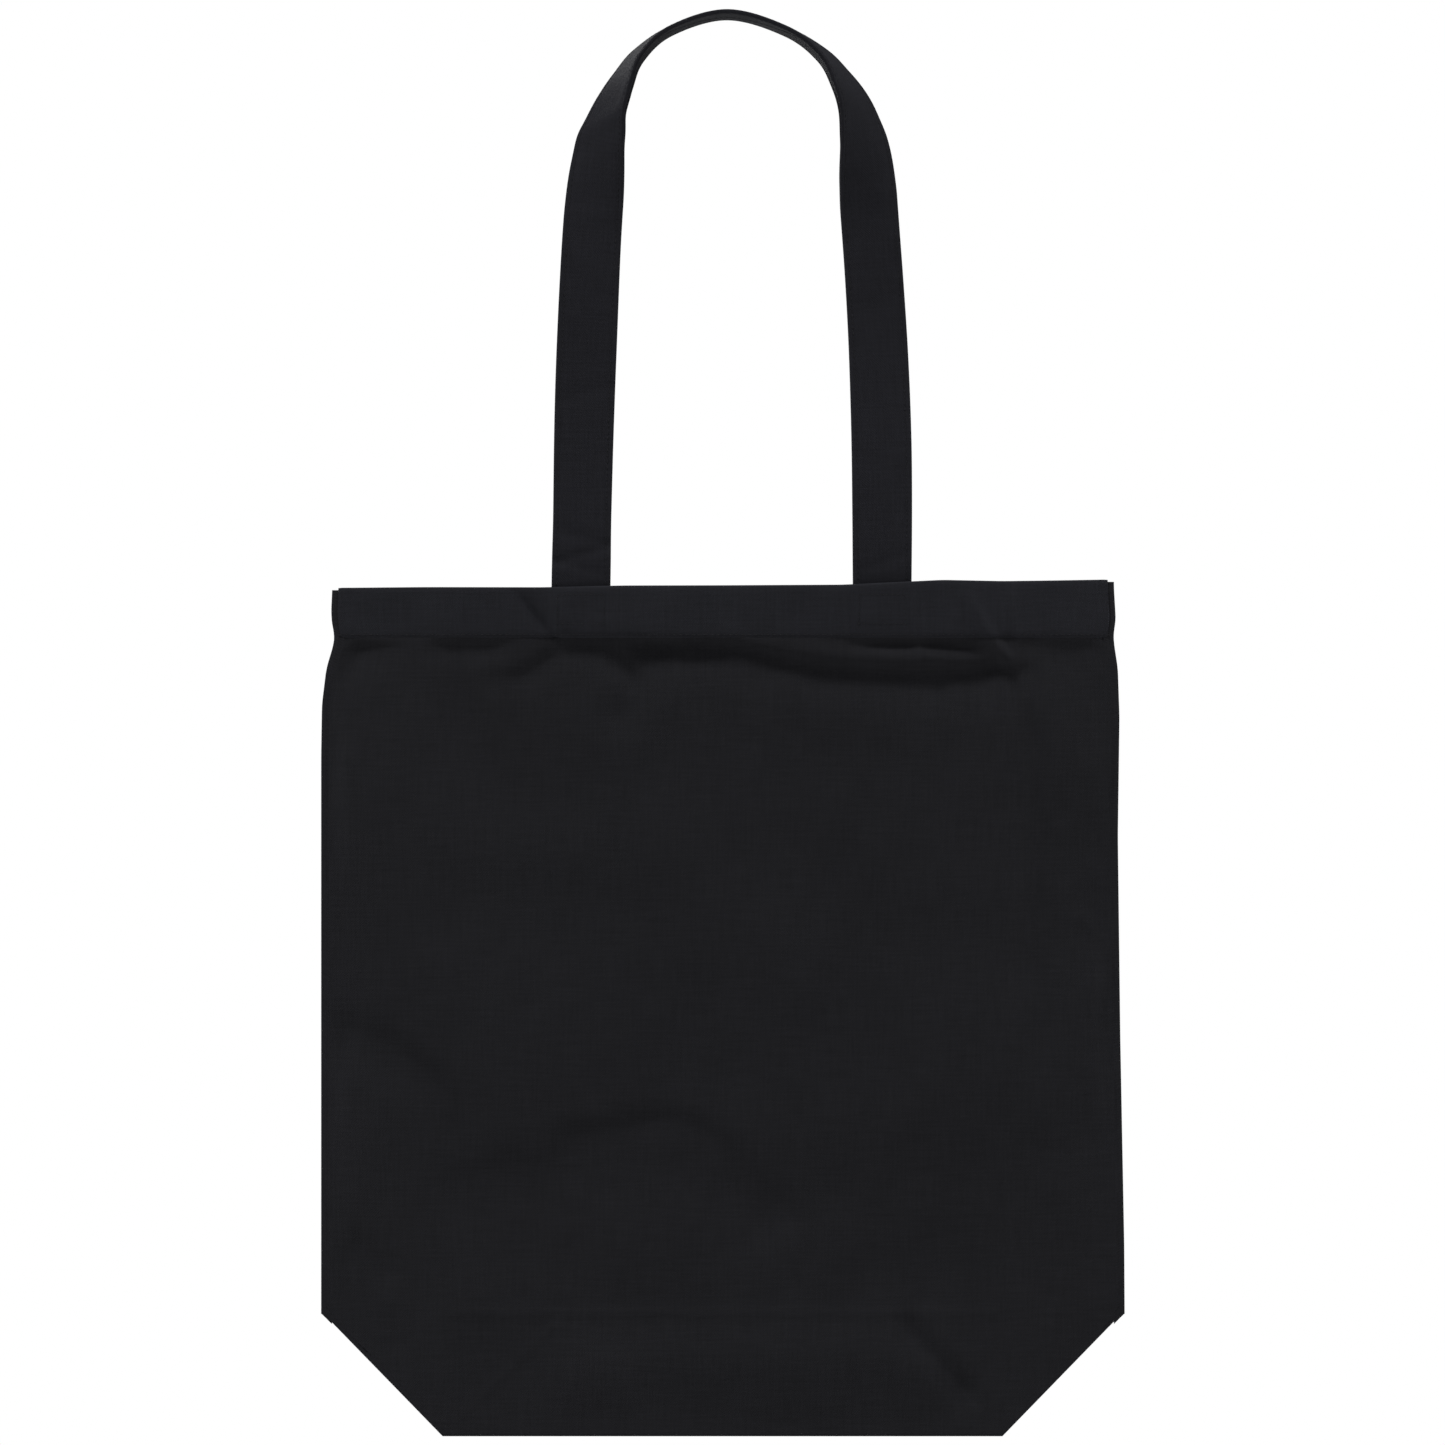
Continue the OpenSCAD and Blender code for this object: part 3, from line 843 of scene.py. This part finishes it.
def handle_section():
    """Cross-section of the folded handle: places (across, through) once around its outline."""
    half, thick = HALF_STRAP, STRAP_THICK / 2
    groove = HALF_STRAP - STITCH_INSET
    rim, flat = half - 0.5 * MM, half - 1.2 * MM
    face = []
    for place in np.concatenate([[-rim], np.linspace(-flat, flat, 27), [rim]]):
        dip = 0.28 * MM * math.exp(-(((abs(place) - groove) / (0.9 * MM)) ** 2))
        edge = 0.35 * MM * smooth((abs(place) - half + 1.6 * MM) / (1.6 * MM))
        face.append((place, thick - dip - edge))
    fold = half - 0.05 * MM
    right = [(fold, thick * 0.45), (half - 0.3 * MM, 0.0), (fold, -thick * 0.45)]
    back = [(place, -through) for place, through in face[::-1]]
    left = [(-place, -through) for place, through in right]
    return np.array(face + right + back + left)


def handle_lift(length, rise, x, place):
    """Soft creases and unevenness of a handle, off its middle."""
    hand = np.where(x < 0, LEFT, RIGHT)
    twist = np.sin(length / (23 * MM) + 2) * np.sin(place / (9 * MM) + length / (50 * MM))
    lift = 0.25 * MM * twist + 0.5 * MM * np.sin(length / (41 * MM))
    for side, creases in LEG_CREASES.items():
        for height, slope, depth, half_width in creases:
            off = rise - height * MM - slope * place
            lift = lift + (hand == side) * depth * MM * np.exp(-((off / (half_width * MM)) ** 2))
    from_end = np.minimum(length, length.max() - length)
    return lift * smooth((from_end - 22 * MM) / (12 * MM))


def handle_piece(side):
    """One handle, with both of its ends down inside the hem."""
    length, centre, across, through, rise = handle_stations()
    section = handle_section()
    place, depth = section[:, 0][None, :], section[:, 1][None, :]
    lift = handle_lift(length[:, None], rise[:, None], centre[:, 0][:, None], place)
    from_hem = smooth((length[:, None] - 30 * MM) / (30 * MM))
    waist = 1 - 0.02 * np.sin(length[:, None] / (37 * MM) + 1) * from_hem
    rings = (centre[:, None] + across[:, None] * (place * waist)[..., None]
             + through[:, None] * (depth + lift)[..., None])
    rings[..., 1] *= -side
    around = np.cumsum(np.concatenate([[0], np.hypot(*np.diff(section, axis=0).T)]))
    uv = np.stack(np.broadcast_arrays(around[None, :] + 0.6, length[:, None]), -1)
    return tube(f"{SIDE_NAMES[side]}_handle_strap", rings, uv)


# ---- Stitches ----


def stitch_tree():
    """Geometry Nodes that lay one stitch after another along the edges of a mesh."""
    tree = bpy.data.node_groups.new("stitch_row", "GeometryNodeTree")
    sockets = {}
    for name, kind in (("Rows", "NodeSocketGeometry"), ("Pitch", "NodeSocketFloat"),
                       ("Length", "NodeSocketFloat"), ("Width", "NodeSocketFloat"),
                       ("Seed", "NodeSocketInt"), ("Thread", "NodeSocketMaterial")):
        made = tree.interface.new_socket(name=name, in_out="INPUT", socket_type=kind)
        sockets[name] = made.identifier
    tree.interface.new_socket(name="Stitches", in_out="OUTPUT", socket_type="NodeSocketGeometry")
    given = tree.nodes.new("NodeGroupInput").outputs
    result = tree.nodes.new("NodeGroupOutput")

    def add(kind, inputs, **settings):
        node = tree.nodes.new(kind)
        for key, value in settings.items():
            setattr(node, key, value)
        for key, value in inputs.items():
            if isinstance(value, bpy.types.NodeSocket):
                tree.links.new(value, node.inputs[key])
            else:
                node.inputs[key].default_value = value
        return node

    curve = add("GeometryNodeMeshToCurve", {"Mesh": given["Rows"]})
    even = add("GeometryNodeResampleCurve", {"Curve": curve.outputs[0], "Length": given["Pitch"]},
               mode="LENGTH")
    away = add("GeometryNodeInputNamedAttribute", {"Name": "away"}, data_type="FLOAT_VECTOR")
    tangent = add("GeometryNodeInputTangent", {})
    lie = add("FunctionNodeAlignRotationToVector", {"Vector": tangent.outputs[0]}, axis="X")
    stand = add("FunctionNodeAlignRotationToVector",
                {"Rotation": lie.outputs[0], "Vector": away.outputs[0]}, axis="Z", pivot_axis="X")
    slack = (0.03, 0.05, 0.11)
    jitter = add("FunctionNodeRandomValue", {"Min": [-angle for angle in slack], "Max": slack,
                                             "Seed": given["Seed"]}, data_type="FLOAT_VECTOR")
    wobble = add("FunctionNodeEulerToRotation", {"Euler": jitter.outputs[0]})
    turned = add("FunctionNodeRotateRotation", {"Rotation": stand.outputs[0],
                                                "Rotate By": wobble.outputs[0]},
                 rotation_space="LOCAL")
    size = add("ShaderNodeCombineXYZ", {"X": given["Length"], "Y": given["Width"],
                                        "Z": given["Width"]})
    bead = add("GeometryNodeMeshUVSphere", {"Segments": 8, "Rings": 6, "Radius": 0.5})
    round_bead = add("GeometryNodeSetShadeSmooth", {"Geometry": bead.outputs[0]})
    laid = add("GeometryNodeInstanceOnPoints",
               {"Points": even.outputs[0], "Instance": round_bead.outputs[0],
                "Rotation": turned.outputs[0], "Scale": size.outputs[0]})
    real = add("GeometryNodeRealizeInstances", {"Geometry": laid.outputs[0]})
    dressed = add("GeometryNodeSetMaterial", {"Geometry": real.outputs[0],
                                              "Material": given["Thread"]})
    tree.links.new(dressed.outputs[0], result.inputs[0])
    return tree, sockets


STITCH_TREE, STITCH_SOCKETS = stitch_tree()


def stitch_rows(name, rows, pitch=3.1 * MM, width=0.5 * MM, seed=1):
    """Stitches along rows of points. Each row is (points, the way out of the cloth)."""
    points, away, edges = [], [], []
    for line, out in rows:
        first = len(points)
        points.extend(line)
        away.extend(out)
        edges.extend((first + k, first + k + 1) for k in range(len(line) - 1))
    obj = make_object(name, points, [], None, edges)
    layer = obj.data.attributes.new("away", "FLOAT_VECTOR", "POINT")
    layer.data.foreach_set("vector", np.array(away, float).ravel())
    modifier = obj.modifiers.new("stitches", "NODES")
    modifier.node_group = STITCH_TREE
    values = {"Pitch": pitch, "Length": pitch * 0.78, "Width": width, "Seed": seed,
              "Thread": THREAD}
    for key, value in values.items():
        modifier[STITCH_SOCKETS[key]] = value
    graph = bpy.context.evaluated_depsgraph_get()
    mesh = bpy.data.meshes.new_from_object(obj.evaluated_get(graph), depsgraph=graph)
    obj.modifiers.clear()
    obj.data = mesh
    return obj


def cloth_row(side, u, v, out):
    """A row of stitches on the bag's cloth, and the way out of it."""
    points = on_cloth(side, u, v, out)
    beyond = on_cloth(side, u, v, out + MM * np.sign(out[0]))
    way = beyond - points
    return points, way / np.linalg.norm(way, axis=1)[:, None]


def hem_rows(side, across):
    """The row of stitches under the hem, outside and inside."""
    v = STITCH_LINE + 1.4 * MM + 0 * across
    outer = HALF_CLOTH + 0.3 * MM + hem_relief(side, across, v) * seam_fade(across) * 0.7
    inner = -hem_depth(across)
    return [cloth_row(side, across, v, outer), cloth_row(side, across, v + 0.4 * MM, inner)]


def tack_rows(side):
    """Boxes of stitches through the strap ends, outside the hem and on the strap inside."""
    rows = []
    half = HALF_STRAP - 3 * MM
    low, high = STRAP_END + 2.5 * MM, MOUTH - 4 * MM
    for leg in LEG_X.values():
        corners = [(-half, low), (half, low), (half, high), (-half, high), (-half, low)]
        path = []
        for (x0, z0), (x1, z1) in zip(corners, corners[1:]):
            share = np.linspace(0, 1, 14)[:-1]
            path.extend(zip(leg + x0 + (x1 - x0) * share, z0 + (z1 - z0) * share))
        path.append(path[0])
        u, v = np.array(path).T
        outer = HALF_CLOTH + HEM_STEP_OUT + hem_relief(side, u, v)
        rows.append(cloth_row(side, u, v, outer))
        inside = -(HALF_DEPTH - LEG_Y + STRAP_THICK / 2)
        rows.append(cloth_row(side, u, v, inside + 0 * u))
    return rows


def handle_rows(side):
    """The two rows along each face of a handle."""
    length, centre, across, through, rise = handle_stations()
    rows = []
    for hand in (LEFT, RIGHT):
        for face in (-1, 1):
            place = hand * (HALF_STRAP - STITCH_INSET)
            lift = handle_lift(length, rise, centre[:, 0], place)
            depth = face * (STRAP_THICK / 2 - 0.2 * MM) + lift
            line = centre + across * place + through * depth[:, None]
            out = face * through
            line[:, 1] *= -side
            out = out * np.array([1, -side, 1])
            keep = (length > 4 * MM) & (length < length.max() - 4 * MM)
            rows.append((line[keep], out[keep]))
    return rows


# ---- Building the bag ----


def box_edge(hand, side, out):
    """A point beside a box edge, on the panel's plane: out is how far it lies past the edge."""
    return np.array([hand * (HALF_BASE + out), side * HALF_DEPTH, 0])


def build_stretch(side, names, reach, end, bodies, bend, replaced, clear, seed):
    """One stretch of a side's body: its cloth, its hem, and the hem's stitches, which stop
    clear of the place where the two stretches meet. reach is (first, last, that place)."""
    cloth_name, hem_name = names
    cloth_nodes, hem_nodes, stitch_nodes = replaced
    first, last, meeting = reach
    crease = RIGHT * HALF_BASE if first == meeting else LEFT * HALF_BASE
    rounded = []
    if end is panel_end:
        rounded = HALF_BASE + ROUND_END * np.linspace(0.2, 1, 5)
    step = CLOTH_STEP[side]
    across = np.concatenate([columns(first, last, step, [crease]), rounded])
    cloth = finish_piece(body_cloth(cloth_name, side, across, step, end), CANVAS,
                         bodies, cloth_nodes, bend)
    across = np.concatenate([columns(first, last, HEM_STEP, [crease]), rounded])
    # The hem gets the canvas copy that is painted lighter, as painted light.
    hem = finish_piece(hem_piece(f"{hem_name}_band", side, across, end), HEM_CANVAS_PAINTED_LIGHTER,
                       bodies, hem_nodes, bend)
    rows = hem_rows(side, across[np.abs(across - meeting) > clear])
    stitches = finish_piece(stitch_rows(f"{hem_name}_stitches", rows, seed=seed), THREAD,
                            bodies, stitch_nodes, bend)
    width, height = last - first, STITCH_LINE - LIP
    corner_cut = (GUSSET_END - HALF_BASE) ** 2 / 2
    width * height - corner_cut


def build_body(side):
    """The two stretches of a side's body. The front's meet in plain cloth beside the right box
    edge, and the back's at the edge itself, which is the open corner."""
    name = SIDE_NAMES[side]
    right = f"right_{name}_side"
    joined = side == FRONT
    meeting = HALF_BASE - (3 * MM if joined else 0)
    clear = (1.0 if joined else 4.5) * MM
    left_bend, right_bend = ((box_edge(hand, side, -CREASE), box_edge(hand, side, CREASE))
                             for hand in (LEFT, RIGHT))
    build_stretch(
        side, (f"{name}_cloth", f"{name}_hem"), (-GUSSET_END, meeting, meeting),
        whole if joined else panel_end, (name, f"left_{name}_side"), left_bend,
        ((f"{name}_panel", f"left_{name}_gusset"), (f"{name}_hem", f"left_{name}_gusset_hem"),
         (f"{name}_hem_stitching",)), clear, 4 + side)
    build_stretch(
        side, (f"right_{name}_gusset_cloth", f"right_{name}_hem"), (meeting, GUSSET_END, meeting),
        whole if joined else gusset_end, (name, right) if joined else (right,),
        right_bend if joined else None,
        ((f"right_{name}_gusset",), (f"right_{name}_gusset_hem",), ()), clear, 8 + side)
    tacks = stitch_rows(f"{name}_tack_stitches", tack_rows(side), 2.6 * MM, 0.4 * MM, 12 + side)
    finish_piece(tacks, THREAD, (name,), (f"{name}_strap_tacks",))


def build_bottom(side):
    """A side's half of the base, with its corner tucks and the corner flaps that lie on it."""
    name = SIDE_NAMES[side]
    bend = (np.array([0, side * (HALF_DEPTH + 0.25 * MM), 0]),
            np.array([0, side * (HALF_DEPTH - 0.12 * MM), 0]))
    base = finish_piece(base_piece(side), CANVAS, (name, f"{name}_base"),
                        (f"{name}_base",), bend)
    for hand in (LEFT, RIGHT):
        corner = f"{HAND_NAMES[hand]}_{name}"
        tuck, *bend = tuck_piece(hand, side)
        finish_piece(tuck, CANVAS, (f"{corner}_side", f"{corner}_tuck"),
                     (f"{corner}_corner_tuck",), bend)
        flap = finish_piece(flap_piece(hand, side), CANVAS, (f"{name}_base",),
                            (f"{corner}_corner_flap",))


def build_handle(side):
    """A side's handle and its stitches."""
    name = SIDE_NAMES[side]
    bodies = (name, f"{name}_handle")
    bend = (np.array([0, side * HALF_DEPTH, MOUTH - 0.5 * MM]),
            np.array([0, side * HALF_DEPTH, MOUTH + 8 * MM]))
    finish_piece(handle_piece(side), STRAP_CANVAS, bodies,
                 (f"{name}_handle", f"{name}_left_strap_end", f"{name}_right_strap_end"), bend)
    rows = stitch_rows(f"{name}_handle_stitches", handle_rows(side), 2.9 * MM, 0.42 * MM, 16 + side)
    finish_piece(rows, THREAD, bodies, (), bend)


def build_seams():
    """The side seams, one at each side of the bag."""
    for hand in (LEFT, RIGHT):
        name = HAND_NAMES[hand]
        bodies = [f"{name}_back_side", f"{name}_front_side"]
        bend = [np.array([hand * SEAM_X, 0.2 * MM, 0]), np.array([hand * SEAM_X, -0.2 * MM, 0])]
        seam = finish_piece(seam_strip(hand), CANVAS, bodies,
                            (f"{name}_side_seam",), bend)


for each_side in (FRONT, BACK):
    build_body(each_side)
    build_bottom(each_side)
    build_handle(each_side)
build_seams()

# ---- Camera, light and floor ----

VIEW_WIDTH = 0.7230
VIEW_HEIGHT = 0.3570
VIEW_DISTANCE = 6.0
ROOM_LIGHT = 0.225


def add_camera():
    """A long lens, level with the middle of the picture, straight in front of the bag."""
    data = bpy.data.cameras.new("camera")
    camera = bpy.data.objects.new("camera", data)
    bpy.context.scene.collection.objects.link(camera)
    camera.location = (0, -VIEW_DISTANCE - HALF_DEPTH, VIEW_HEIGHT)
    camera.rotation_euler = (math.pi / 2, 0, 0)
    data.lens = data.sensor_width * VIEW_DISTANCE / VIEW_WIDTH
    data.clip_end = 100
    bpy.context.scene.camera = camera


def add_light(name, place, aim, size, power):
    """A soft square light turned towards a point."""
    data = bpy.data.lights.new(name, "AREA")
    data.size = size
    data.energy = power
    light = bpy.data.objects.new(name, data)
    bpy.context.scene.collection.objects.link(light)
    light.location = place
    light.rotation_euler = (Vector(aim) - Vector(place)).to_track_quat("-Z", "Y").to_euler()


def add_surroundings():
    """A white room, and a pale floor below the hanging bag."""
    world = bpy.data.worlds.new("white_room")
    world.use_nodes = True
    tree = world.node_tree
    background = tree.nodes["Background"]
    background.inputs["Color"].default_value = (1, 1, 1, 1)
    # The room looks white, and lights the bag less than the lamps do.
    seen = Wire(tree).node("ShaderNodeLightPath")
    strength = seen * (1 - ROOM_LIGHT) + ROOM_LIGHT
    tree.links.new(strength.socket, background.inputs["Strength"])
    bpy.context.scene.world = world
    bpy.context.scene.view_settings.view_transform = "Standard"

    bpy.ops.mesh.primitive_circle_add(vertices=96, radius=2.6, fill_type="NGON",
                                      location=(0, 0, -0.3))
    floor = bpy.context.active_object
    floor.name = "floor"
    material = bpy.data.materials.new("pale_floor")
    material.use_nodes = True
    shader = material.node_tree.nodes["Principled BSDF"]
    shader.inputs["Base Color"].default_value = (0.86, 0.86, 0.85, 1)
    shader.inputs["Roughness"].default_value = 0.9
    floor.data.materials.append(material)


add_camera()
add_surroundings()
# The key rakes down from the upper left. The fills keep the sides and the back from going flat.
for name, place, size, power in (
        ("key", (-1.0, -1.12, 3.3), 0.7, 109),
        ("front_fill", (2.4, -1.0, 1.5), 1.6, 26),
        ("left_rim", (-2.3, -0.7, 1.0), 1.2, 18),
        ("right_fill", (2.6, -0.35, 1.6), 1.6, 34),
        ("back_fill", (-1.6, 2.8, 1.4), 1.6, 85)):
    add_light(name, place, (0, 0, 0.3), size, power)
